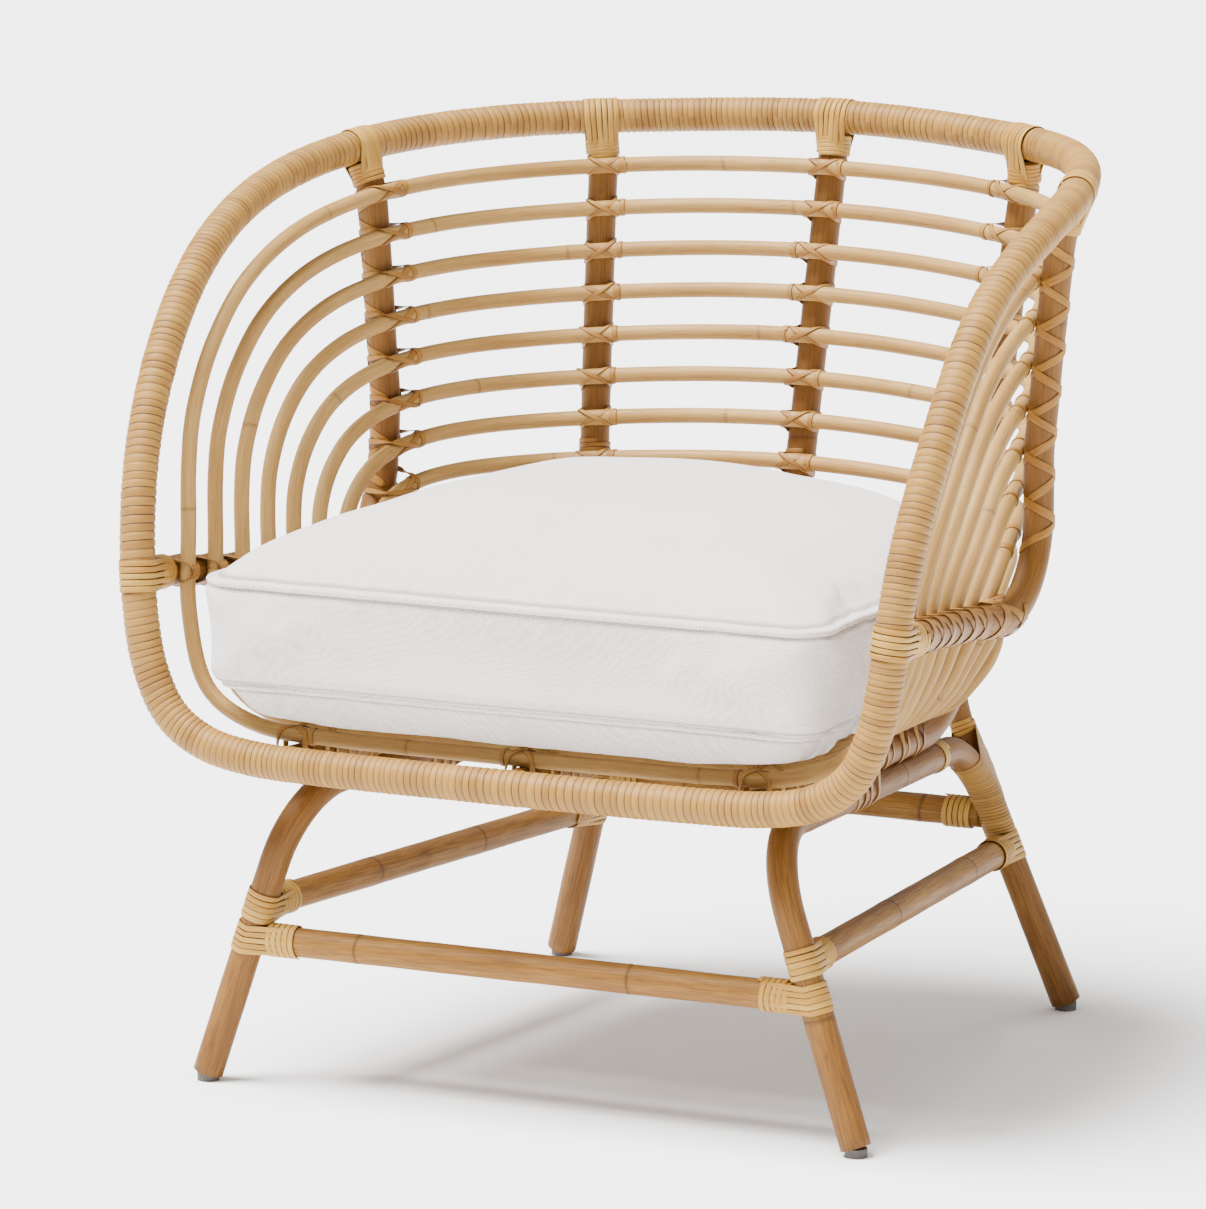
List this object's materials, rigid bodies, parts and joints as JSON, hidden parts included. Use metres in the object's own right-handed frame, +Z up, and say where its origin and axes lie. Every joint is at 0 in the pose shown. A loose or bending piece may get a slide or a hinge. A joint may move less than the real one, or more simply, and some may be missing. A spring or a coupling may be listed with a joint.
{
  "type": "rattan tub armchair",
  "caption": "Low free-standing rattan tub armchair: nested hoops in a wound rim, on splayed bent legs, with a loose box cushion.",
  "frame": {"origin": "middle of the chair on the floor: the middle of its width and depth at floor level", "axes": "+Z up, the front of the seat faces -Y, +X to the viewer's right from the front; the chair mirrors across X = 0"},
  "size_m": [0.7206, 0.646, 0.7484],
  "materials": {
    "peel": "close turns of pale split peel, satin",
    "rod": "pale peeled cane, matt",
    "post_cane": "peeled cane poles, satin",
    "leg_cane": "thick cane poles, satin",
    "glide": "grey plastic",
    "cushion_cover": "warm white twill cover"
  },
  "bodies": {
    "frame": {"rim_pole": "post_cane", "rim_winding": "peel", "hoop_1": "rod", "hoop_2": "rod", "hoop_3": "rod", "hoop_4": "rod", "hoop_5": "rod", "hoop_6": "rod", "hoop_7": "rod", "hoop_8": "rod", "seat_hoop_9": "rod", "seat_hoop_10": "rod", "seat_hoop_11": "rod", "post_left": "post_cane", "post_centre": "post_cane", "post_right": "post_cane", "side_member_left": "post_cane", "side_member_right": "post_cane", "leg_frame_left": "leg_cane", "leg_frame_right": "leg_cane", "rear_brace_left": "post_cane", "rear_brace_right": "post_cane", "front_stretcher": "leg_cane", "rear_stretcher": "leg_cane", "side_stretcher_left": "leg_cane", "side_stretcher_right": "leg_cane", "glide_front_left": "glide", "glide_front_right": "glide", "glide_rear_left": "glide", "glide_rear_right": "glide", "post_binding_left": "peel", "post_binding_centre": "peel", "post_binding_right": "peel", "front_binding_left": "peel", "front_binding_right": "peel", "rear_binding_left": "peel", "rear_binding_right": "peel", "side_binding_front_left": "peel", "side_binding_front_right": "peel", "side_binding_rear_left": "peel", "side_binding_rear_right": "peel"},
    "cushion": {"seat_cushion": "cushion_cover"}
  },
  "joints": [
    {"name": "cushion_lift", "type": "slide", "parent": "frame", "child": "cushion", "axis": [0, 0, 1], "range_m": [0, 0.47]}
  ]
}
